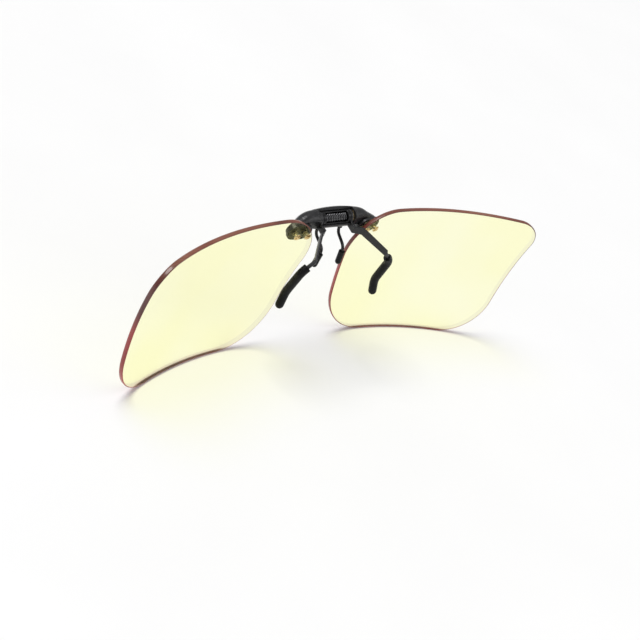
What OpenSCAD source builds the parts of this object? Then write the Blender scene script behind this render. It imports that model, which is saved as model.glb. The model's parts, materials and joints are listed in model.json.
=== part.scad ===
// Clip-on flip lenses for spectacles.
// A sprung claw grips the spectacle front from behind, against two short
// front prongs, and the pair of lenses flips up on the same hinge pin.
//
// Frame: the front of the lenses faces -Y, +Z is up and +X is the wearer's
// left. The origin is the middle of the grip, in the middle plane, half way
// between the front pads and the rear sleeves. Sizes are in millimetres.

/* [Lens] */
// Width of one lens outline at its top
lens_w = 60.8; // [50:0.2:73]
// Height of one lens outline
lens_h = 40.2; // [33:0.1:49]
// Lens thickness
lens_t = 1.2; // [1:0.1:2.6]
// Radius of the lens's back surface
lens_radius = 93.5; // [77:0.5:140]
// Face wrap: how far each lens turns back at the temple, in degrees
wrap = 11.6; // [6:0.1:16]
// Pantoscopic tilt: how far the top of each lens leans back, in degrees
tilt = 1; // [0:0.1:6]
// Corner radius, top and towards the nose
r_top_nose = 12; // [6:0.5:15]
// Corner radius, top and towards the temple
r_top_temple = 6.5; // [3:0.5:15]
// Corner radius, bottom and towards the nose
r_low_nose = 15.5; // [4:0.5:16]
// Corner radius, bottom and towards the temple
r_low_temple = 13; // [4:0.5:15]
// How far the lower nose corner steps in from the upper one
nose_slant = 7.2; // [0:0.1:9]
// How far the lower temple corner steps in from the upper one
temple_slant = 3.2; // [0:0.1:9]

/* [Mounting pad] */
// Distance of the pad's middle from the nose side of the lens
pad_inset = 6.8; // [5.4:0.1:8.4]
// Distance of the pad's middle below the top of the lens
pad_drop = 5.7; // [4:0.1:8]
// Pad length, along the lens
pad_l = 7.2; // [6:0.1:8.4]
// Pad height
pad_h = 4.8; // [4:0.1:6]
// Pad thickness
pad_t = 0.8; // [0.5:0.1:1.4]
// Pad's middle: distance from the middle plane
pad_x = 11.5; // [10.6:0.1:14]
// Pad's middle: distance below the hinge pin
pad_below_hinge = 2.1; // [1.2:0.1:2.8]
// Pad's middle: distance behind the hinge pin
pad_behind_hinge = 2.1; // [1.6:0.1:3]
// Distance between the two rivets of one pad
rivet_pitch = 3.2; // [2.6:0.1:3.8]
// Rivet shank diameter
rivet_d = 0.9; // [0.7:0.1:1.2]
// Rivet head diameter
rivet_head_d = 1.8; // [1.5:0.1:2.2]
// Wall of the soft bush between the rivet and the lens
bush_wall = 0.25; // [0.15:0.05:0.4]

/* [Hinge] */
// Height of the hinge pin above the middle of the grip
hinge_z = 9.5; // [8.5:0.1:13]
// Distance of the hinge pin in front of the middle of the grip
hinge_front = 6.2; // [5.8:0.1:9]
// Hinge pin diameter
pin_d = 1.2; // [1:0.05:1.4]
// Running clearance round the pin, on the radius
run_gap = 0.04; // [0.02:0.01:0.08]
// Outer diameter of the hinge barrel
barrel_d = 3.7; // [3.5:0.1:4.2]
// Half length of the hinge barrel
barrel_half = 4.6; // [4:0.1:6]
// Wall of the hinge barrel
barrel_wall = 0.35; // [0.3:0.05:0.5]
// Thickness of the barrel's end walls
flange_t = 0.7; // [0.5:0.1:1]
// Thickness of the lens bridge over the barrel
cover_t = 0.45; // [0.35:0.05:0.7]
// How much the bridge over the barrel swells in its middle
cover_crown = 0.4; // [0.2:0.05:0.8]
// Side gap between moving pieces
side_gap = 0.1; // [0.05:0.05:0.2]
// Friction washer thickness
washer_t = 0.25; // [0.15:0.05:0.4]
// Depth of the pin in each bridge arm
pin_depth = 1.4; // [1.1:0.1:1.8]

/* [Spring] */
// Spring wire diameter
wire_d = 0.42; // [0.3:0.02:0.5]
// Turns of the torsion spring
coil_turns = 12; // [6:1:13]

/* [Claws] */
// Thickness of the claw's stamped strip
claw_t = 0.7; // [0.6:0.1:1]
// Width of the claw's stamped strip
claw_w = 1.8; // [1.6:0.1:2.4]
// Diameter of the claw's round end, inside the sleeve
finger_d = 1.0; // [0.8:0.1:1.2]
// Outer diameter of the rubber sleeves
sleeve_d = 2.2; // [1.8:0.1:2.8]

/* [Front prongs] */
// Front prong diameter
prong_d = 0.8; // [0.6:0.05:1]
// Outer diameter of the front prongs' rubber tips
tip_d = 1.6; // [1.3:0.1:2]
// Gap between the front tips and the rear sleeves
grip_gap = 2.6; // [2.1:0.1:3.2]

/* [Hidden] */
$fn = 48;

// Colours
amber = [0.98, 0.96, 0.70, 0.5];
satin_black = [0.16, 0.16, 0.17];
dark_steel = [0.10, 0.10, 0.11];
steel = [0.38, 0.38, 0.40];
brass = [0.80, 0.64, 0.30];
clear = [0.90, 0.90, 0.86, 0.6];
rubber = [0.07, 0.07, 0.07];

// Sides of round parts in hulls, and of a whole circle that gives a long shallow arc
hull_fn = 32;
arc_fn = 720;
// A cut that runs past a face by this much leaves no skin
past = 0.5;
big = 200;
// Bends in wires and tubes: reach along each leg, steps in the bend, sides of the tube
bend_reach = 1.3;
bend_steps = 5;
tube_sides = 20;
// Clearance on the radius round a wire in its cap, sleeve or socket
slip = 0.02;

// Hinge axis
hinge_y = -hinge_front;
barrel_r = barrel_d / 2;
pin_r = pin_d / 2;
bore_r = pin_r + run_gap;
// Ears along the pin: barrel, claw, washer, bridge arm
claw_x0 = barrel_half + side_gap;
claw_x1 = claw_x0 + claw_t;
washer_x0 = claw_x1 + side_gap / 2;
washer_x1 = washer_x0 + washer_t;
arm_x0 = washer_x1 + side_gap / 2;
pin_half = arm_x0 + pin_depth;
cover_r0 = barrel_r + side_gap;
cover_r1 = cover_r0 + cover_t;
// Angles round the pin, from straight forward and upward from there
cover_from = -35;
cover_to = 68;
window_from = 85;
window_to = 192;
window_rim = 0.2;
spine_from = 200;
spine_to = 228;
// Overlap of the cover on each arm
cover_lap = 0.6;

// Lens surfaces
front_radius = lens_radius + lens_t;
pad_u = -lens_w / 2 + pad_inset;
pad_v = lens_h / 2 - pad_drop;
surface_y = lens_radius - sqrt(pow(front_radius, 2) - pow(pad_u, 2) - pow(pad_v, 2));
pad_point = [pad_x, hinge_y + pad_behind_hinge, hinge_z - pad_below_hinge];
tilted_y = surface_y * cos(tilt) + pad_v * sin(tilt);
lens_pos = pad_point - [
    pad_u * cos(wrap) - tilted_y * sin(wrap),
    pad_u * sin(wrap) + tilted_y * cos(wrap),
    pad_v * cos(tilt) - surface_y * sin(tilt)
];
pad_pitch = asin(pad_v / front_radius);
pad_yaw = asin(pad_u / (front_radius * cos(pad_pitch)));

// Rivet head: height, radius of its dome, and the bush's collar under it
head_h = 0.45;
head_dome_r = 1.2;
collar_t = 0.15;

// Bridge arm: it leaves the hinge along the pin and bows down to the seat on the pad
seat_t = 0.9;
seat_inset = 0.35;
arm_steps = 8;
// Step from which the arm spreads out to its seat
arm_ankle = 5;
arm_root_r = cover_r1 - 0.04;
arm_foot_r = pad_h / 2 - 0.55;
arm_root = [arm_x0 + 0.3, hinge_y, hinge_z];
arm_bow = [pin_half + 2.4, hinge_y - 0.2, hinge_z + 0.2];
arm_foot = pad_point + [0, -pad_t - seat_t / 2, 0.3];

// Rear claw route: root tab, hump over the host's rim, shoulder, knee, calf and toe.
// The calf is what presses on the back of the host's lens.
tab_y = hinge_y + 3.4;
tab_z = hinge_z - 1.6;
ear_root = [claw_x0, hinge_y + 0.3, hinge_z - 0.85];
calf_y = grip_gap / 2 + sleeve_d / 2;
hump = [claw_x1 + 1.6, hinge_y + 4.8, hinge_z - 1.3];
shoulder = [11.9, calf_y + 1.9, hinge_z - 4.2];
knee = [14.8, calf_y + 1.8, hinge_z - 7.3];
calf = [15.1, calf_y, hinge_z - 14.7];
toe = [15.8, calf_y + 0.5, hinge_z - 18.1];
// Where the sleeve's neck is, as a share of the way from the shoulder to the knee
neck_share = 0.55;

// Front prong route
prong_r = prong_d / 2;
tip_y = -grip_gap / 2 - tip_d / 2;
lug_r = prong_r + 0.3;
lug_x = barrel_half - lug_r - 0.15;
lug_drop = barrel_r + 1.3;
socket_floor = 0.1;
prong_top = [lug_x, hinge_y, hinge_z - barrel_r - socket_floor];
prong_elbow = [lug_x, hinge_y, hinge_z - lug_drop - bend_reach];
prong_hip = [lug_x - 0.2, tip_y, hinge_z - 6.4];
prong_end = [lug_x + 0.3, tip_y, hinge_z - 11.0];

// ---- helpers ----

// Places children in the plus-X half, or mirrored in the minus-X half
module side(s) {
    mirror([s < 0 ? 1 : 0, 0, 0]) children();
}

// Round bar along the hinge axis, from x0 to x1
module hinge_bar(r, x0, x1) {
    translate([x0, hinge_y, hinge_z]) rotate([0, 90, 0]) cylinder(r = r, h = x1 - x0);
}

// Sweeps a flat shape, radius by minus x, round the hinge axis.
// Angle 0 is forward, 90 is up, 180 is backward.
module around_hinge(from, to) {
    translate([0, hinge_y, hinge_z]) rotate([90, 0, -90]) rotate([0, 0, from])
        rotate_extrude(angle = to - from) children();
}

// Curved plate round the hinge axis: radii, x range and angles
module hinge_plate(r0, r1, x0, x1, from, to) {
    around_hinge(from, to) translate([r0, -x1]) square([r1 - r0, x1 - x0]);
}

// Arc points of one rounded corner, between its neighbours
function unit(a) = a / norm(a);
function corner_arc(p, a, b, r, n) =
    let (
        ua = unit(a - p),
        ub = unit(b - p),
        half = acos(ua * ub) / 2,
        centre = p + unit(ua + ub) * r / sin(half),
        start = p + ua * r / tan(half) - centre,
        turn = 180 - 2 * half
    )
    [for (i = [0 : n])
        centre + [
            start[0] * cos(turn * i / n) - start[1] * sin(turn * i / n),
            start[0] * sin(turn * i / n) + start[1] * cos(turn * i / n)
        ]
    ];

// Lens outline, with X towards the temple and Y up, anticlockwise
lens_corners = [
    [lens_w / 2, lens_h / 2, r_top_temple],
    [-lens_w / 2, lens_h / 2, r_top_nose],
    [-lens_w / 2 + nose_slant, -lens_h / 2, r_low_nose],
    [lens_w / 2 - temple_slant, -lens_h / 2, r_low_temple]
];
function corner_xy(i) = [lens_corners[i][0], lens_corners[i][1]];
lens_outline = [
    for (i = [0 : 3])
        each corner_arc(corner_xy(i), corner_xy((i + 3) % 4), corner_xy((i + 1) % 4),
                        lens_corners[i][2], 9)
];

// The lens's own frame: X to the temple, Z up, front surface towards -Y
module at_lens() {
    translate(lens_pos) rotate([0, 0, wrap]) rotate([-tilt, 0, 0]) children();
}

// The pad's frame: its origin lies on the lens's front surface and -Y points out
module at_pad() {
    at_lens() translate([0, lens_radius, 0])
        rotate([0, 0, pad_yaw]) rotate([-pad_pitch, 0, 0])
            translate([0, -front_radius, 0]) children();
}

// Rivet places in the pad's frame
module at_rivets() {
    for (i = [-1, 1]) translate([i * rivet_pitch / 2, 0, 0]) rotate([90, 0, 0]) children();
}

// Turns +Z to point from a to b
module along(a, b) {
    d = b - a;
    translate(a) rotate([0, acos(d[2] / norm(d)), atan2(d[1], d[0])]) children();
}

// Smooth bow from one point to another, pulled towards p
function bow(from, p, to, steps) =
    [for (i = [0 : steps])
        let (t = i / steps) pow(1 - t, 2) * from + 2 * t * (1 - t) * p + pow(t, 2) * to];

// Rounds each bend of a path over this length of its legs
function bend(a, p, b) =
    bow(p + unit(a - p) * bend_reach, p, p + unit(b - p) * bend_reach, bend_steps);
function bent(points) = [
    points[0],
    for (i = [1 : len(points) - 2]) each bend(points[i - 1], points[i], points[i + 1]),
    points[len(points) - 1]
];

// A tube's stations, each a point, a direction and a radius, and a round end past the last
function heading(path, i) = unit(path[min(i + 1, len(path) - 1)] - path[max(i - 1, 0)]);
function stations(path, r) = tapered(path, r, r);
function tapered(path, r0, r1) =
    let (last = len(path) - 1)
    [for (i = [0 : last]) [path[i], heading(path, i), r0 + (r1 - r0) * i / last]];
function round_end(p, t, r) = [for (a = [25 : 20 : 85]) [p + t * r * sin(a), t, r * cos(a)]];
function backwards(list) = [for (i = [len(list) - 1 : -1 : 0]) list[i]];
function ring(p, t, r) =
    let (u = unit(cross([0, 1, 0], t)), v = cross(t, u))
    [for (j = [0 : tube_sides - 1])
        let (b = 360 * j / tube_sides) p + r * (cos(b) * u + sin(b) * v)];

// Closed skin through the stations, in order
module tube(list) {
    last = len(list) - 1;
    walls = [for (k = [0 : last - 1], j = [0 : tube_sides - 1])
        let (j2 = (j + 1) % tube_sides, a = k * tube_sides, b = a + tube_sides)
        each [[a + j, b + j, b + j2], [a + j, b + j2, a + j2]]
    ];
    ends = [
        [for (j = [0 : tube_sides - 1]) j],
        [for (j = [tube_sides - 1 : -1 : 0]) last * tube_sides + j]
    ];
    polyhedron(points = [for (s = list) each ring(s[0], s[1], s[2])], faces = concat(walls, ends));
}

// ---- lenses and their mountings ----

module lens(s) {
    color(amber) side(s) difference() {
        at_lens() intersection() {
            translate([0, lens_radius, 0]) difference() {
                sphere(r = front_radius, $fn = 96);
                sphere(r = lens_radius, $fn = 96);
            }
            translate([0, 20, 0]) rotate([90, 0, 0]) linear_extrude(height = 30) polygon(lens_outline);
        }
        at_pad() at_rivets() translate([0, 0, -5]) cylinder(r = rivet_d / 2 + bush_wall, h = 10);
    }
}

module mount_pad(s) {
    color(satin_black) side(s) at_pad() difference() {
        rotate([90, 0, 0]) linear_extrude(height = pad_t) pad_outline(pad_l, pad_h);
        at_rivets() translate([0, 0, -past]) cylinder(r = rivet_d / 2 + run_gap, h = pad_t + 2 * past);
    }
}

// Stadium outline
module pad_outline(l, h) {
    union() {
        square([l - h, h], center = true);
        for (i = [-1, 1]) translate([i * (l - h) / 2, 0]) circle(d = h);
    }
}

// Flush on the pad's face, domed head on the back of the lens
module lens_rivets(s) {
    color(brass) side(s) at_pad() at_rivets() translate([0, 0, -lens_t - collar_t - head_h]) {
        translate([0, 0, head_h]) cylinder(r = rivet_d / 2, h = collar_t + lens_t + pad_t);
        intersection() {
            cylinder(d = rivet_head_d, h = head_h);
            translate([0, 0, head_dome_r]) sphere(r = head_dome_r);
        }
    }
}

// Soft bush in each lens hole, with a thin collar behind the lens
module lens_bushes(s) {
    color(clear) side(s) at_pad() at_rivets() difference() {
        union() {
            translate([0, 0, -lens_t]) cylinder(r = rivet_d / 2 + bush_wall - slip, h = lens_t);
            translate([0, 0, -lens_t - collar_t]) cylinder(d = rivet_head_d + 0.3, h = collar_t);
        }
        translate([0, 0, -lens_t - past]) cylinder(r = rivet_d / 2 + slip, h = lens_t + 2 * past);
    }
}

// ---- flipping bridge ----

// Arm from the hinge to the pad's outer face
module bridge_arm(s) {
    path = bow(arm_root, arm_bow, arm_foot, arm_steps);
    ankle_r = arm_root_r + (arm_foot_r - arm_root_r) * arm_ankle / arm_steps - 0.06;
    color(satin_black) side(s) difference() {
        union() {
            hinge_bar(cover_r1, arm_x0, arm_x0 + cover_lap + 0.1);
            tube(tapered(path, arm_root_r, arm_foot_r));
            hull() {
                along(path[arm_ankle], path[arm_ankle + 1])
                    cylinder(r = ankle_r, h = 0.1, $fn = hull_fn);
                at_pad() translate([0, -pad_t, 0]) rotate([90, 0, 0]) linear_extrude(height = seat_t)
                    pad_outline(pad_l - 2 * seat_inset, pad_h - 2 * seat_inset, $fn = hull_fn);
            }
        }
        // pin bore
        hinge_bar(bore_r, arm_x0 - past, pin_half + 0.3);
        // step for the bridge cover
        hinge_plate(cover_r0, cover_r1 + past, arm_x0 - past, arm_x0 + cover_lap, cover_from, cover_to);
        // flat seat on the pad, and room for the lens behind it
        at_pad() translate([-big / 2, -pad_t, -big / 2]) cube([big, 20, big]);
    }
}

// Curved plate over the barrel that ties the two arms together. Its outside swells
// along an arc from each arm to the middle plane.
module bridge_cover() {
    x = arm_x0 + cover_lap;
    arc_r = (pow(x, 2) + pow(cover_crown, 2)) / (2 * cover_crown);
    color(satin_black) around_hinge(cover_from, cover_to) intersection() {
        translate([cover_r0, -x]) square([cover_t + cover_crown + past, 2 * x]);
        translate([cover_r1 + cover_crown - arc_r, 0]) circle(r = arc_r, $fn = arc_fn);
    }
}

module friction_washer(s) {
    color(brass) side(s) difference() {
        hinge_bar(barrel_r - 0.15, washer_x0, washer_x1);
        hinge_bar(bore_r, washer_x0 - past, washer_x1 + past);
    }
}

// ---- base: barrel, pin and front prongs ----

module hinge_barrel() {
    inner = barrel_half - flange_t;
    window = inner - window_rim;
    color(dark_steel) difference() {
        union() {
            hinge_bar(barrel_r, -barrel_half, barrel_half);
            for (s = [-1, 1])
                translate([s * lug_x, hinge_y, hinge_z - lug_drop])
                    cylinder(r = lug_r, h = lug_drop - barrel_r + 0.2);
        }
        // spring chamber and its window
        hinge_bar(barrel_r - barrel_wall, -inner, inner);
        hinge_plate(bore_r, barrel_r + past, -window, window, window_from, window_to);
        hinge_bar(bore_r, -barrel_half - past, barrel_half + past);
        // prong sockets
        for (s = [-1, 1])
            translate([s * lug_x, hinge_y, hinge_z - lug_drop - past])
                cylinder(r = prong_r + slip, h = lug_drop + past - barrel_r - socket_floor);
    }
}

module hinge_pin() {
    color(steel) hinge_bar(pin_r, -pin_half, pin_half);
}

// Torsion spring: a helix of round wire, wound round the pin inside the barrel
module torsion_spring() {
    sides = 6;
    per_turn = 16;
    chamber = barrel_half - flange_t - 0.2;
    mean_r = pin_r + run_gap + 0.2 + wire_d / 2;
    steps = coil_turns * per_turn;
    length = 2 * chamber - wire_d;
    ring = [for (k = [0 : steps], j = [0 : sides - 1])
        let (
            a = 360 * k / per_turn,
            b = 360 * j / sides,
            r = mean_r + wire_d / 2 * cos(b)
        )
        [-length / 2 + length * k / steps + wire_d / 2 * sin(b), r * cos(a), r * sin(a)]
    ];
    tube = [for (k = [0 : steps - 1], j = [0 : sides - 1])
        let (j2 = (j + 1) % sides)
        [k * sides + j, k * sides + j2, (k + 1) * sides + j2, (k + 1) * sides + j]
    ];
    ends = [
        [for (j = [sides - 1 : -1 : 0]) j],
        [for (j = [0 : sides - 1]) steps * sides + j]
    ];
    color(steel) translate([0, hinge_y, hinge_z]) polyhedron(points = ring, faces = concat(tube, ends));
}

module front_prong(s) {
    color(dark_steel) side(s)
        tube(stations(bent([prong_top, prong_elbow, prong_hip, prong_end]), prong_r));
}

// Rubber tip: a round-ended cap over the prong's end
module front_tip(s) {
    reach = norm(prong_end - prong_hip);
    start = bend_reach;
    color(rubber) side(s) along(prong_hip, prong_end) difference() {
        union() {
            translate([0, 0, start]) cylinder(d = tip_d, h = reach - start);
            translate([0, 0, reach]) sphere(d = tip_d);
        }
        translate([0, 0, -past]) cylinder(r = prong_r + slip, h = reach + past);
    }
}

// ---- sprung claw ----

// One point of the flat strip: a short upright plate. A shrink keeps the ends of
// neighbouring stretches from sharing faces.
module strip_at(p, w, shrink = 0) {
    translate([p[0], p[1], p[2] - w / 2 + shrink])
        cylinder(d = claw_t - 2 * shrink, h = w - 2 * shrink, $fn = 16);
}

// End of the ear's tab
module tab_at(shrink = 0) {
    translate([claw_x0 + shrink, tab_y + shrink, tab_z - claw_w / 2 + shrink])
        cube([claw_t - 2 * shrink, 0.3 - 2 * shrink, claw_w - 2 * shrink]);
}

module claw_arm(s) {
    shrink = 0.02;
    color(satin_black) side(s) difference() {
        union() {
            hinge_bar(barrel_r, claw_x0, claw_x1);
            hull() {
                translate(ear_root) rotate([0, 90, 0])
                    cylinder(r = claw_w / 2 - 0.1, h = claw_t, $fn = hull_fn);
                tab_at();
            }
            hull() {
                tab_at(shrink);
                strip_at(hump, claw_w);
            }
            hull() {
                strip_at(hump, claw_w, shrink);
                strip_at(shoulder, claw_w * 0.8);
            }
            tube(stations(bent([shoulder, knee, calf, toe]), finger_d / 2));
        }
        hinge_bar(bore_r, claw_x0 - past, claw_x1 + past);
    }
}

// Curved strip that ties the two claw ears together
module claw_spine() {
    color(satin_black) hinge_plate(cover_r0, cover_r1, -claw_x0, claw_x0, spine_from, spine_to);
}

// Rubber sleeve over the claw's round end: the bore from its blind end up to the
// neck, then the outside down to the round toe
module rear_sleeve(s) {
    neck = shoulder + (knee - shoulder) * neck_share;
    bore = bent([neck, knee, calf, toe + unit(toe - calf) * slip]);
    skin = bent([neck, knee, calf, toe]);
    color(rubber) side(s) tube(concat(
        backwards(stations(bore, finger_d / 2 + slip)),
        stations(skin, sleeve_d / 2),
        round_end(toe, unit(toe - calf), sleeve_d / 2)
    ));
}

lens(1);  // left_lens
lens(-1);  // right_lens
mount_pad(1);  // left_mount_pad
mount_pad(-1);  // right_mount_pad
lens_rivets(1);  // left_lens_rivets
lens_rivets(-1);  // right_lens_rivets
lens_bushes(1);  // left_lens_bushes
lens_bushes(-1);  // right_lens_bushes
bridge_arm(1);  // left_bridge_arm
bridge_arm(-1);  // right_bridge_arm
bridge_cover();
friction_washer(1);  // left_friction_washer
friction_washer(-1);  // right_friction_washer
hinge_barrel();
hinge_pin();
torsion_spring();
front_prong(1);  // left_front_prong
front_prong(-1);  // right_front_prong
front_tip(1);  // left_front_tip
front_tip(-1);  // right_front_tip
claw_arm(1);  // left_claw_arm
claw_arm(-1);  // right_claw_arm
claw_spine();
rear_sleeve(1);  // left_rear_sleeve
rear_sleeve(-1);  // right_rear_sleeve
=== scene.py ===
"""Looks of the clip-on flip lenses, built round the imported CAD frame.

Lengths below are millimetres where no comment says metres, in the CAD's own
frame: the lens fronts face -Y, +Z is up and +X is the wearer's left.
"""

import json
import math

import bmesh
import bpy
from mathutils import Matrix, Vector


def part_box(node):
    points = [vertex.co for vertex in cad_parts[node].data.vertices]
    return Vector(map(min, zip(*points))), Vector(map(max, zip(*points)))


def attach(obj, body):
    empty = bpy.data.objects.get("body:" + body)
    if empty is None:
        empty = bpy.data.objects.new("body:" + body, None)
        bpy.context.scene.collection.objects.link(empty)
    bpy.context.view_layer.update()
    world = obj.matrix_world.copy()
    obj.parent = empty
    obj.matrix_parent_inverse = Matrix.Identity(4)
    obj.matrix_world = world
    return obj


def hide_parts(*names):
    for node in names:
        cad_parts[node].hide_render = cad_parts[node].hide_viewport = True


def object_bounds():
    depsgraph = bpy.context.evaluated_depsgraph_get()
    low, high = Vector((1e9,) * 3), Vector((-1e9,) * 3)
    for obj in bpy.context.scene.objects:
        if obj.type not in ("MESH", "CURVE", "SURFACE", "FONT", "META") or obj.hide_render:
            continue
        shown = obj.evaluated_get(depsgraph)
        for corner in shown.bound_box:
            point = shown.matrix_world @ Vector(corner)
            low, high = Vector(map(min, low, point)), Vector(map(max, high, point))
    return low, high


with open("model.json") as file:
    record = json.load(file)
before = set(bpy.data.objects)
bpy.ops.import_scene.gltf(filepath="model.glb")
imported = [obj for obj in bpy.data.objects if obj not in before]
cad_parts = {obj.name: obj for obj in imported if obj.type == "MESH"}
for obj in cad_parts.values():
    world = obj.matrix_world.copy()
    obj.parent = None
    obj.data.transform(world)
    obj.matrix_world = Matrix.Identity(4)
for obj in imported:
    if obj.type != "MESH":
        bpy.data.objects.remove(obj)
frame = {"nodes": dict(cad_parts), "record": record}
cad_low, cad_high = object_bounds()
MM = 0.001
SIDES = {"left": 1, "right": -1}

# Lens, as the CAD has it
LENS_W, LENS_H, LENS_T = 60.8, 40.2, 1.2
BACK_RADIUS = 93.5
FRONT_RADIUS = BACK_RADIUS + LENS_T
WRAP, TILT = math.radians(11.6), math.radians(1)
NOSE_SLANT, TEMPLE_SLANT = 7.2, 3.2
CORNER_RADII = {"top_temple": 6.5, "top_nose": 12, "low_nose": 15.5, "low_temple": 13}
PAD_INSET, PAD_DROP = 6.8, 5.7
RIVET_PITCH, HOLE_R = 3.2, 0.7

# Lens, finer than the CAD: its rounded edge, and the steps and rings of its mesh
EDGE_BEVEL = 0.28
BEVEL_DEGREES = (0, 22.5, 45, 67.5, 90)
CORNER_STEPS, OUTLINE_STEP = 20, 1.2
# Rings of a face: shares of the way from the middle to the edge
FACE_RINGS = (0.06, 0.14, 0.24, 0.35, 0.46, 0.57, 0.68, 0.78, 0.87, 0.94, 0.98)
CUTTER_LENGTH, CUTTER_SIDES = 8, 48

# Spring, round the hinge pin
WIRE_R, COIL_R, COIL_TURNS = 0.21, 1.05, 12
STEPS_A_TURN, WIRE_SIDES = 36, 14

# Camera: it looks down on the back of the lenses from the wearer's left. AIM and
# DISTANCE are metres; the focal length and the sensor are millimetres.
AIM = Vector((0.93, 4.68, -14.55)) * MM
AZIMUTH, ELEVATION, ROLL = math.radians(127.87), math.radians(32.81), math.radians(25.58)
DISTANCE, FOCAL, SENSOR = 0.3524, 78.75, 36
NEAR_CLIP, FAR_CLIP = 0.01, 20

# Stage, in metres: a floor just under the object
FLOOR_HALF, FLOOR_GAP = 3.0, 0.2 * MM
ROOM_LIGHT, BACKDROP_LIGHT = 0.38, 0.97
# Suns: the direction each comes from, its strength and its spread in degrees
SUNS = {
    "key": ((0.3, -0.35, 1.0), 2.1, 34),
    "fill": ((-0.6, 0.8, 0.9), 0.55, 50),
}

# The lens edge turns from its sides' red to its top's brown between two heights
RED_BELOW, BROWN_ABOVE = 0.25 * cad_low.z, 0.85 * cad_high.z
# It is darkened with painted shade near its top corner by the temple: how far in
# from the lens's box that corner is, and how much of the painted shade colour it takes
SHADE_CORNER_INSET = (1.0, 2.5, 8.0)
SHADE_CORNER_SHARE = 0.9

# Smooth copies: the reach of the weld, in metres, and the strength of a round
WELD_REACH, SMOOTHING = 1e-7, 0.5
# A lens face turned further than this from its sphere is the wall of a hole
LEAST_LIKENESS = 0.9


# ---------------------------------------------------------------- materials

class Nodes:
    """A short way to write a material's nodes."""

    def __init__(self, name):
        self.material = bpy.data.materials.new(name)
        self.material.use_nodes = True
        self.tree = self.material.node_tree
        self.tree.nodes.clear()
        self.out = self.add("ShaderNodeOutputMaterial")
        self.place = self.add("ShaderNodeTexCoord").outputs["Object"]

    def add(self, kind, **values):
        node = self.tree.nodes.new(kind)
        for key, value in values.items():
            if hasattr(node, key):
                setattr(node, key, value)
        return node

    def link(self, source, target):
        self.tree.links.new(source, target)

    def noise(self, size_mm, detail=3, stretch=(1, 1, 1), roughness=0.5):
        """Noise with features of about this size, stretched along the axes."""
        mapping = self.add("ShaderNodeMapping")
        mapping.inputs["Scale"].default_value = [1 / (size_mm * MM * s) for s in stretch]
        self.link(self.place, mapping.inputs["Vector"])
        noise = self.add("ShaderNodeTexNoise")
        noise.inputs["Scale"].default_value = 1
        noise.inputs["Detail"].default_value = detail
        noise.inputs["Roughness"].default_value = roughness
        self.link(mapping.outputs["Vector"], noise.inputs["Vector"])
        return noise.outputs["Fac"]

    def ramp(self, source, *stops):
        """Colour ramp; a stop is a position and a grey or a colour."""
        node = self.add("ShaderNodeValToRGB")
        elements = node.color_ramp.elements
        while len(elements) < len(stops):
            elements.new(0.5)
        for element, (position, value) in zip(elements, stops):
            colour = value if hasattr(value, "__len__") else (value,) * 3
            element.position = position
            element.color = (*colour, 1)
        self.link(source, node.inputs["Fac"])
        return node.outputs["Color"]

    def mix(self, factor, first, second, blend="MIX"):
        node = self.add("ShaderNodeMix", data_type="RGBA", blend_type=blend)
        sockets = (node.inputs[0], node.inputs[6], node.inputs[7])
        for socket, value in zip(sockets, (factor, first, second)):
            if isinstance(value, bpy.types.NodeSocket):
                self.link(value, socket)
            else:
                socket.default_value = value if socket.type == "VALUE" else (*value, 1)
        return node.outputs[2]

    def bump(self, height, depth_mm, strength=1.0, after=None):
        node = self.add("ShaderNodeBump")
        node.inputs["Strength"].default_value = strength
        node.inputs["Distance"].default_value = depth_mm * MM
        self.link(height, node.inputs["Height"])
        if after:
            self.link(after, node.inputs["Normal"])
        return node.outputs["Normal"]

    def principled(self, **values):
        """Principled shader; a socket links and a plain value is set on the shader."""
        node = self.add("ShaderNodeBsdfPrincipled")
        for key, value in values.items():
            socket = node.inputs[key.replace("_", " ")]
            if isinstance(value, bpy.types.NodeSocket):
                self.link(value, socket)
            elif socket.type == "RGBA":
                socket.default_value = (*value, 1)
            else:
                socket.default_value = value
        return node.outputs["BSDF"]

    def finish(self, shader):
        self.link(shader, self.out.inputs["Surface"])
        return self.material

    def painted_shade_near_corner(self, reach_mm, fade_mm):
        """Mask of the painted shade: 1 at each lens's top corner by the temple, 0 beyond the fade."""
        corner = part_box("left_lens")[1] - Vector(SHADE_CORNER_INSET) * MM
        split = self.add("ShaderNodeSeparateXYZ")
        self.link(self.place, split.inputs[0])
        either_side = self.add("ShaderNodeMath", operation="ABSOLUTE")
        self.link(split.outputs["X"], either_side.inputs[0])
        joined = self.add("ShaderNodeCombineXYZ")
        self.link(either_side.outputs[0], joined.inputs["X"])
        self.link(split.outputs["Y"], joined.inputs["Y"])
        self.link(split.outputs["Z"], joined.inputs["Z"])
        away = self.add("ShaderNodeVectorMath", operation="DISTANCE")
        away.inputs[1].default_value = corner
        self.link(joined.outputs[0], away.inputs[0])
        fade = self.add("ShaderNodeMapRange")
        self.link(away.outputs["Value"], fade.inputs["Value"])
        fade.inputs["From Min"].default_value = reach_mm * MM
        fade.inputs["From Max"].default_value = fade_mm * MM
        fade.inputs["To Min"].default_value = SHADE_CORNER_SHARE
        fade.inputs["To Max"].default_value = 0.0
        return fade.outputs["Result"]

    def edges(self):
        """1 along sharp outer edges, 0 elsewhere: worn edges on the satin enamel, painted edge highlights
        on the plating.
        """
        pointiness = self.add("ShaderNodeNewGeometry").outputs["Pointiness"]
        return self.ramp(pointiness, (0.52, 0), (0.58, 1))


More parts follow.
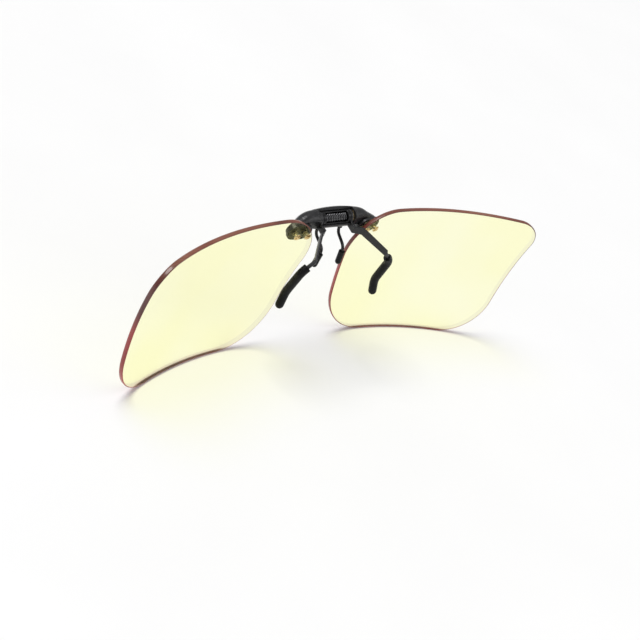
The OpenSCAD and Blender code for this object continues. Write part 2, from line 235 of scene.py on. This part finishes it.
def satin_black():
    """Satin enamel: a fine orange peel, soft roughness clouds and rubbed edges."""
    m = Nodes("satin_black")
    clouds = m.noise(2.2, 4)
    base = m.ramp(clouds, (0.3, (0.008, 0.008, 0.009)), (0.7, (0.016, 0.016, 0.018)))
    worn = m.mix(0.5, m.noise(0.35, 3), m.edges(), "MULTIPLY")
    colour = m.mix(m.ramp(worn, (0.25, 0), (0.7, 0.6)), base, (0.07, 0.07, 0.073))
    rough = m.ramp(clouds, (0.25, 0.30), (0.75, 0.42))
    peel = m.bump(m.noise(0.22, 2), 0.006, 0.5)
    skin = m.bump(m.noise(0.9, 2), 0.02, 0.35, peel)
    return m.finish(m.principled(Base_Color=colour, Roughness=rough, Normal=skin, Specular_IOR_Level=0.4,
                                 Coat_Weight=0.12, Coat_Roughness=0.25))


def dark_steel():
    """Glossy black plating with faint turning lines round the hinge axis, and painted highlights along its
    sharp edges.
    """
    m = Nodes("dark_steel")
    lines = m.noise(0.12, 2, stretch=(1, 60, 60))
    base = m.ramp(m.noise(1.5, 3), (0.3, (0.010, 0.010, 0.011)), (0.7, (0.024, 0.024, 0.025)))
    # Painted highlight: the sharp edges are lightened towards grey
    colour = m.mix(m.ramp(m.edges(), (0.2, 0), (1, 0.5)), base, (0.16, 0.16, 0.165))
    rough = m.ramp(lines, (0.3, 0.16), (0.7, 0.30))
    return m.finish(m.principled(Base_Color=colour, Metallic=0.5, Specular_IOR_Level=0.3,
                                 Roughness=rough, Normal=m.bump(lines, 0.003, 0.5)))


def steel():
    """Blackened spring wire and pin: dark metal with fine draw marks."""
    m = Nodes("steel")
    marks = m.noise(0.05, 2, stretch=(1, 14, 14))
    colour = m.ramp(m.noise(0.8, 3), (0.3, (0.09, 0.09, 0.095)), (0.7, (0.18, 0.18, 0.185)))
    rough = m.ramp(marks, (0.3, 0.20), (0.7, 0.36))
    return m.finish(m.principled(Base_Color=colour, Metallic=1.0, Roughness=rough,
                                 Normal=m.bump(marks, 0.002, 0.5)))


def brass():
    """Polished brass, a little darker where it has tarnished."""
    m = Nodes("brass")
    tarnish = m.noise(0.7, 4)
    colour = m.ramp(tarnish, (0.3, (0.52, 0.34, 0.12)), (0.62, (0.86, 0.66, 0.32)))
    rough = m.ramp(tarnish, (0.3, 0.34), (0.7, 0.14))
    pits = m.bump(m.noise(0.1, 2), 0.002, 0.4)
    return m.finish(m.principled(Base_Color=colour, Metallic=1.0, Roughness=rough, Normal=pits))


def rubber():
    """Matte silicone rubber with a fine moulded skin."""
    m = Nodes("rubber")
    clouds = m.noise(1.8, 4)
    colour = m.ramp(clouds, (0.3, (0.004, 0.004, 0.004)), (0.7, (0.008, 0.008, 0.009)))
    rough = m.ramp(m.noise(0.6, 3), (0.3, 0.34), (0.7, 0.46))
    grain = m.bump(m.noise(0.09, 2), 0.006, 0.6)
    skin = m.bump(clouds, 0.03, 0.4, grain)
    return m.finish(m.principled(Base_Color=colour, Roughness=rough, Normal=skin, Specular_IOR_Level=0.16))


def clear_nylon():
    """Milky clear nylon bushes."""
    m = Nodes("clear_nylon")
    colour = m.ramp(m.noise(0.6, 2), (0.3, (0.80, 0.76, 0.62)), (0.7, (0.92, 0.90, 0.80)))
    rough = m.ramp(m.noise(0.2, 2), (0.3, 0.3), (0.7, 0.45))
    return m.finish(m.principled(Base_Color=colour, Roughness=rough, Alpha=0.2))


def amber_lens():
    """Clear moulded lens: a light amber tint with broad, faint clouds, and a coated
    surface that reflects by the angle. Only its outward side reflects."""
    m = Nodes("amber_lens")
    haze = m.noise(26, 2, roughness=0.4)
    tint = m.ramp(haze, (0.35, (0.998, 0.997, 0.855)), (0.65, (0.998, 0.995, 0.810)))
    clear = m.add("ShaderNodeBsdfTransparent")
    m.link(tint, clear.inputs["Color"])
    gloss = m.principled(Base_Color=(0.9, 0.85, 0.55), Metallic=1.0,
                         Roughness=m.ramp(m.noise(3, 4), (0.3, 0.02), (0.7, 0.05)))
    facing = m.add("ShaderNodeLayerWeight")
    facing.inputs["Blend"].default_value = 0.12
    outside = m.ramp(m.add("ShaderNodeNewGeometry").outputs["Backfacing"], (0.0, 1), (1.0, 0))
    glance = m.ramp(facing.outputs["Facing"], (0.0, 0.012), (0.6, 0.03), (1.0, 0.5))
    share = m.mix(1.0, glance, outside, "MULTIPLY")
    both = m.add("ShaderNodeMixShader")
    m.link(share, both.inputs[0])
    m.link(clear.outputs["BSDF"], both.inputs[1])
    m.link(gloss, both.inputs[2])
    return m.finish(both.outputs["Shader"])


def lens_edge():
    """The lens's ground edge: the tint seen end on. It is red-brown along the top,
    redder down the sides, and painted shade makes it dark maroon at the top corner by
    the temple. From inside the lens it is clear, so the far edge doesn't show as a wall."""
    m = Nodes("lens_edge")
    height = m.add("ShaderNodeMapRange")
    split = m.add("ShaderNodeSeparateXYZ")
    m.link(m.place, split.inputs[0])
    m.link(split.outputs["Z"], height.inputs["Value"])
    height.inputs["From Min"].default_value = RED_BELOW
    height.inputs["From Max"].default_value = BROWN_ABOVE
    long_way = m.noise(17, 2)
    side = m.ramp(long_way, (0.38, (0.240, 0.016, 0.018)), (0.62, (0.420, 0.044, 0.042)))
    top = m.ramp(long_way, (0.36, (0.085, 0.020, 0.016)), (0.50, (0.200, 0.062, 0.040)),
                 (0.64, (0.235, 0.095, 0.060)))
    painted_shade_mask = m.painted_shade_near_corner(4.5, 11.0)
    round_the_lens = m.mix(height.outputs["Result"], side, top)
    # Painted shade: the edge is darkened to maroon round the top corner by the temple
    with_painted_shade = m.mix(painted_shade_mask, round_the_lens, (0.050, 0.008, 0.009))
    lines = m.noise(0.5, 3, stretch=(24, 1, 24))
    colour = m.mix(m.ramp(lines, (0.35, 0.0), (0.7, 0.30)), with_painted_shade, (0.30, 0.10, 0.07))
    rough = m.ramp(lines, (0.3, 0.18), (0.7, 0.34))
    wall = m.principled(Base_Color=colour, Roughness=rough, Normal=m.bump(lines, 0.006, 0.4),
                        Specular_IOR_Level=0.4, Coat_Weight=0.2, Coat_Roughness=0.12)
    inner = m.add("ShaderNodeBsdfTransparent")
    inner.inputs["Color"].default_value = (0.93, 0.92, 0.80, 1)
    both = m.add("ShaderNodeMixShader")
    m.link(m.add("ShaderNodeNewGeometry").outputs["Backfacing"], both.inputs[0])
    m.link(wall, both.inputs[1])
    m.link(inner.outputs["BSDF"], both.inputs[2])
    return m.finish(both.outputs["Shader"])


def pale_floor():
    """The white ground of the picture, with the faintest clouds."""
    m = Nodes("pale_floor")
    colour = m.ramp(m.noise(60, 3), (0.3, 0.90), (0.7, 0.92))
    return m.finish(m.principled(Base_Color=colour, Roughness=0.7))


MATERIALS = {
    make.__name__: make()
    for make in (satin_black, dark_steel, steel, brass, rubber, clear_nylon, amber_lens,
                 lens_edge, pale_floor)
}
NODE_SLOT = {part["node"]: part["material_slot"] for part in frame["record"]["subparts"]}
NODE_BODY = {
    node: body
    for body, nodes in frame["record"]["behaviour"]["bodies"].items()
    for node in nodes
}


# ---------------------------------------------------------------- pieces

def settle(piece, node):
    """A new piece stands for a CAD node: it joins the node's body, and the node is hidden."""
    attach(piece, NODE_BODY[node])
    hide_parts(node)
    return piece


def new_object(name, mesh, *materials):
    piece = bpy.data.objects.new(name, mesh)
    bpy.context.scene.collection.objects.link(piece)
    for material in materials:
        mesh.materials.append(MATERIALS[material])
    return piece


def bake_modifiers(piece):
    """The piece's modifiers go into its mesh."""
    graph = bpy.context.evaluated_depsgraph_get()
    mesh = bpy.data.meshes.new_from_object(piece.evaluated_get(graph))
    piece.modifiers.clear()
    piece.data = mesh


def refine(node, voxel_mm, rounds, forward_mm=0.0):
    """A smooth copy of a CAD node with softly rounded edges, as cast, stamped or moulded.
    It may stand a step forward, off a surface that it lies on."""
    piece = new_object(node + "_fine", frame["nodes"][node].data.copy())
    weld = piece.modifiers.new("weld", "WELD")
    weld.merge_threshold = WELD_REACH
    remesh = piece.modifiers.new("remesh", "REMESH")
    remesh.mode = "VOXEL"
    remesh.voxel_size = voxel_mm * MM
    smooth = piece.modifiers.new("smooth", "SMOOTH")
    smooth.factor = SMOOTHING
    smooth.iterations = rounds
    bake_modifiers(piece)
    piece.data.transform(Matrix.Translation((0, -forward_mm * MM, 0)))
    piece.data.materials.clear()
    piece.data.materials.append(MATERIALS[NODE_SLOT[node]])
    for polygon in piece.data.polygons:
        polygon.use_smooth = True
        polygon.material_index = 0
    return settle(piece, node)


# ---------------------------------------------------------------- lenses

def outline():
    """The lens outline, X to the temple and Y up, with its corners as arcs."""
    corners = [
        (Vector((LENS_W / 2, LENS_H / 2)), CORNER_RADII["top_temple"]),
        (Vector((-LENS_W / 2, LENS_H / 2)), CORNER_RADII["top_nose"]),
        (Vector((-LENS_W / 2 + NOSE_SLANT, -LENS_H / 2)), CORNER_RADII["low_nose"]),
        (Vector((LENS_W / 2 - TEMPLE_SLANT, -LENS_H / 2)), CORNER_RADII["low_temple"]),
    ]
    points = []
    for i, (corner, radius) in enumerate(corners):
        before = (corners[i - 1][0] - corner).normalized()
        after = (corners[(i + 1) % 4][0] - corner).normalized()
        half = before.angle(after) / 2
        centre = corner + (before + after).normalized() * radius / math.sin(half)
        start = corner + before * radius / math.tan(half) - centre
        turn = math.pi - 2 * half
        for k in range(CORNER_STEPS + 1):
            points.append(centre + Matrix.Rotation(turn * k / CORNER_STEPS, 2) @ start)
    full = []
    for i, point in enumerate(points):
        following = points[(i + 1) % len(points)]
        pieces = max(1, round((following - point).length / OUTLINE_STEP))
        full += [point.lerp(following, k / pieces) for k in range(pieces)]
    return full


def lens_profile():
    """Rings from the front's edge round to the back's edge: inset, and depth from one face."""
    angles = [math.radians(degrees) for degrees in BEVEL_DEGREES]
    arc = [(EDGE_BEVEL * (1 - math.sin(a)), EDGE_BEVEL * (1 - math.cos(a))) for a in angles]
    front = [(inset, depth, "front") for inset, depth in arc]
    back = [(inset, depth, "back") for inset, depth in reversed(arc)]
    return front + back


def lens_mesh(name):
    """The lens in its own frame, in millimetres, front towards -Y."""
    points = outline()
    count = len(points)
    normals = []
    for i in range(count):
        along = (points[(i + 1) % count] - points[i - 1]).normalized()
        normals.append(Vector((along.y, -along.x)))

    def surface(u, v, face, depth=0.0):
        radius = FRONT_RADIUS - depth if face == "front" else BACK_RADIUS + depth
        return Vector((u, BACK_RADIUS - math.sqrt(radius**2 - u**2 - v**2), v))

    def ring(inset, share, face, depth=0.0):
        return [surface(*((p - n * inset) * share), face, depth) for p, n in zip(points, normals)]

    profile = lens_profile()
    rings = [ring(EDGE_BEVEL, share, "front") for share in FACE_RINGS]
    rings += [ring(inset, 1.0, face, depth) for inset, depth, face in profile]
    rings += [ring(EDGE_BEVEL, share, "back") for share in reversed(FACE_RINGS)]
    shell = bmesh.new()
    grid = [[shell.verts.new(point) for point in points_round] for points_round in rings]
    wall = range(len(FACE_RINGS), len(FACE_RINGS) + len(profile) - 1)
    for k in range(len(grid) - 1):
        for i in range(count):
            j = (i + 1) % count
            face = shell.faces.new((grid[k][i], grid[k][j], grid[k + 1][j], grid[k + 1][i]))
            face.smooth = True
            face.material_index = 1 if k in wall else 0
    for innermost, face_name in ((grid[0], "front"), (grid[-1], "back")):
        centre = shell.verts.new(surface(0, 0, face_name))
        for i in range(count):
            face = shell.faces.new((innermost[i], innermost[(i + 1) % count], centre))
            face.smooth = True
    bmesh.ops.recalc_face_normals(shell, faces=shell.faces)
    mesh = bpy.data.meshes.new(name)
    shell.to_mesh(mesh)
    shell.free()
    return mesh


def rotation(axis, angle):
    return Matrix.Rotation(angle, 4, axis)


def lens_turn():
    return rotation("Z", WRAP) @ rotation("X", -TILT)


def pad_turn():
    """Place of the mounting pad in the lens's own frame."""
    u, v = -LENS_W / 2 + PAD_INSET, LENS_H / 2 - PAD_DROP
    pitch = math.asin(v / FRONT_RADIUS)
    yaw = math.asin(u / (FRONT_RADIUS * math.cos(pitch)))
    return (Matrix.Translation((0, BACK_RADIUS, 0)) @ rotation("Z", yaw) @ rotation("X", -pitch)
            @ Matrix.Translation((0, -FRONT_RADIUS, 0)))


def drill(piece, places, radius):
    """Round holes along each place's Y axis."""
    cutters = []
    for place in places:
        tool = bmesh.new()
        bmesh.ops.create_cone(tool, cap_ends=True, segments=CUTTER_SIDES, radius1=radius,
                              radius2=radius, depth=CUTTER_LENGTH,
                              matrix=place @ rotation("X", math.pi / 2))
        mesh = bpy.data.meshes.new("cutter")
        tool.to_mesh(mesh)
        tool.free()
        cutter = bpy.data.objects.new("cutter", mesh)
        bpy.context.scene.collection.objects.link(cutter)
        cut = piece.modifiers.new("hole", "BOOLEAN")
        cut.operation = "DIFFERENCE"
        cut.solver = "EXACT"
        cut.object = cutter
        cutters.append(cutter)
    bpy.context.view_layer.update()
    bake_modifiers(piece)
    for cutter in cutters:
        bpy.data.objects.remove(cutter)


def true_normals(mesh):
    """Each face of the lens shades as its sphere does, whatever its polygons are. The
    edge and the holes' walls keep the normals that their polygons give them."""
    centre = Vector((0, BACK_RADIUS, 0))
    normals = [Vector((0, 0, 0))] * len(mesh.loops)
    for polygon in mesh.polygons:
        polygon.use_smooth = True
        if polygon.material_index:
            continue
        outward = (polygon.center - centre).normalized()
        side = polygon.normal.dot(outward)
        in_a_hole = abs(side) < LEAST_LIKENESS
        if in_a_hole:
            continue
        for loop in polygon.loop_indices:
            point = mesh.vertices[mesh.loops[loop].vertex_index].co
            normals[loop] = (point - centre).normalized() * (1 if side > 0 else -1)
    mesh.normals_split_custom_set(normals)


def middle(points):
    """The middle of the box round some points."""
    low = Vector([min(p[i] for p in points) for i in range(3)])
    high = Vector([max(p[i] for p in points) for i in range(3)])
    return (low + high) / 2


def make_lens(name, side):
    node = name + "_lens"
    piece = new_object(node + "_fine", lens_mesh(node + "_fine"), "amber_lens", "lens_edge")
    rivets = [pad_turn() @ Matrix.Translation((i * RIVET_PITCH / 2, 0, 0)) for i in (-1, 1)]
    drill(piece, rivets, HOLE_R)
    true_normals(piece.data)
    turned = [lens_turn() @ vertex.co for vertex in piece.data.vertices]
    low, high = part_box(node)
    target = (low + high) / 2 / MM
    target.x = abs(target.x)
    place = Matrix.Translation(target - middle(turned)) @ lens_turn()
    mirror = Matrix.Scale(side, 4, (1, 0, 0)) if side < 0 else Matrix.Identity(4)
    piece.data.transform(Matrix.Scale(MM, 4) @ mirror @ place)
    if side < 0:
        piece.data.flip_normals()
    return settle(piece, node)


# ---------------------------------------------------------------- spring

def make_spring():
    """Close-wound coil of round wire on the hinge pin, between the barrel's end walls."""
    low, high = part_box("torsion_spring")
    centre = (low + high) / 2
    wire, coil = WIRE_R * MM, COIL_R * MM
    length = high.x - low.x - 2 * wire
    steps = COIL_TURNS * STEPS_A_TURN
    wire_angles = [2 * math.pi * j / WIRE_SIDES for j in range(WIRE_SIDES)]
    pitch_angle = math.atan(length / (COIL_TURNS * 2 * math.pi * coil))
    shell = bmesh.new()
    rings = []
    for k in range(steps + 1):
        turn = 2 * math.pi * k / STEPS_A_TURN
        out = Vector((0, math.cos(turn), math.sin(turn)))
        along = Vector((math.sin(pitch_angle), -math.sin(turn) * math.cos(pitch_angle),
                        math.cos(turn) * math.cos(pitch_angle)))
        aside = along.cross(out)
        middle_point = centre + out * coil + Vector((length * (k / steps - 0.5), 0, 0))
        rings.append([
            shell.verts.new(middle_point + (out * math.cos(b) + aside * math.sin(b)) * wire)
            for b in wire_angles
        ])
    for k in range(steps):
        for j in range(WIRE_SIDES):
            j2 = (j + 1) % WIRE_SIDES
            face = shell.faces.new((rings[k][j], rings[k][j2], rings[k + 1][j2], rings[k + 1][j]))
            face.smooth = True
    shell.faces.new(rings[0])
    shell.faces.new(rings[-1])
    bmesh.ops.recalc_face_normals(shell, faces=shell.faces)
    mesh = bpy.data.meshes.new("torsion_spring_fine")
    shell.to_mesh(mesh)
    shell.free()
    return settle(new_object("torsion_spring_fine", mesh, "steel"), "torsion_spring")


# Smooth copies: voxel size in millimetres, rounds of smoothing, and any step forward
REFINED = {
    "bridge_arm": (0.075, 14),
    "bridge_cover": (0.06, 4),
    "claw_arm": (0.06, 6),
    "claw_spine": (0.055, 4),
    "friction_washer": (0.045, 3),
    "front_prong": (0.055, 5),
    "front_tip": (0.06, 5),
    "hinge_barrel": (0.055, 3),
    "hinge_pin": (0.055, 3),
    "lens_bushes": (0.045, 3),
    "lens_rivets": (0.04, 5),
    "mount_pad": (0.07, 6, 0.03),
    "rear_sleeve": (0.075, 8),
}


def make_pieces():
    for name, side in SIDES.items():
        make_lens(name, side)
    make_spring()
    for node in sorted(frame["nodes"]):
        part = node.removeprefix("left_").removeprefix("right_")
        if part in REFINED:
            refine(node, *REFINED[part])


# ---------------------------------------------------------------- stage

def make_floor():
    mesh = bpy.data.meshes.new("floor")
    half, z = FLOOR_HALF, cad_low.z - FLOOR_GAP
    corners = [(-half, -half, z), (half, -half, z), (half, half, z), (-half, half, z)]
    mesh.from_pydata(corners, [], [(0, 1, 2, 3)])
    new_object("floor", mesh, "pale_floor")


def soft_sun(name, direction, strength, spread):
    """Even light over the whole floor from a wide soft source; the spread is in degrees."""
    data = bpy.data.lights.new(name, "SUN")
    data.energy, data.angle = strength, math.radians(spread)
    light = bpy.data.objects.new(name, data)
    bpy.context.scene.collection.objects.link(light)
    light.rotation_euler = Vector(direction).to_track_quat("Z", "Y").to_euler()


def make_lights():
    """Two suns and a room; the camera itself sees a brighter, white backdrop."""
    for name, sun in SUNS.items():
        soft_sun(name, *sun)
    world = bpy.data.worlds.new("studio")
    world.use_nodes = True
    nodes, links = world.node_tree.nodes, world.node_tree.links
    room = nodes["Background"]
    backdrop = nodes.new("ShaderNodeBackground")
    for background, strength in ((room, ROOM_LIGHT), (backdrop, BACKDROP_LIGHT)):
        background.inputs["Color"].default_value = (1, 1, 1, 1)
        background.inputs["Strength"].default_value = strength
    seen = nodes.new("ShaderNodeMixShader")
    links.new(nodes.new("ShaderNodeLightPath").outputs["Is Camera Ray"], seen.inputs[0])
    links.new(room.outputs[0], seen.inputs[1])
    links.new(backdrop.outputs[0], seen.inputs[2])
    links.new(seen.outputs[0], nodes["World Output"].inputs["Surface"])
    bpy.context.scene.world = world


def make_camera():
    back = Vector((
        math.sin(AZIMUTH) * math.cos(ELEVATION),
        -math.cos(AZIMUTH) * math.cos(ELEVATION),
        math.sin(ELEVATION),
    ))
    level = Vector((math.cos(AZIMUTH), math.sin(AZIMUTH), 0))
    upward = back.cross(level)
    right = level * math.cos(ROLL) + upward * math.sin(ROLL)
    data = bpy.data.cameras.new("camera")
    data.lens, data.sensor_width = FOCAL, SENSOR
    data.clip_start, data.clip_end = NEAR_CLIP, FAR_CLIP
    camera = bpy.data.objects.new("camera", data)
    bpy.context.scene.collection.objects.link(camera)
    turn = Matrix((right, back.cross(right), back)).transposed().to_4x4()
    camera.matrix_world = Matrix.Translation(AIM + back * DISTANCE) @ turn
    bpy.context.scene.camera = camera


bpy.context.scene.view_settings.view_transform = "Standard"
make_camera()
make_pieces()
make_floor()
make_lights()
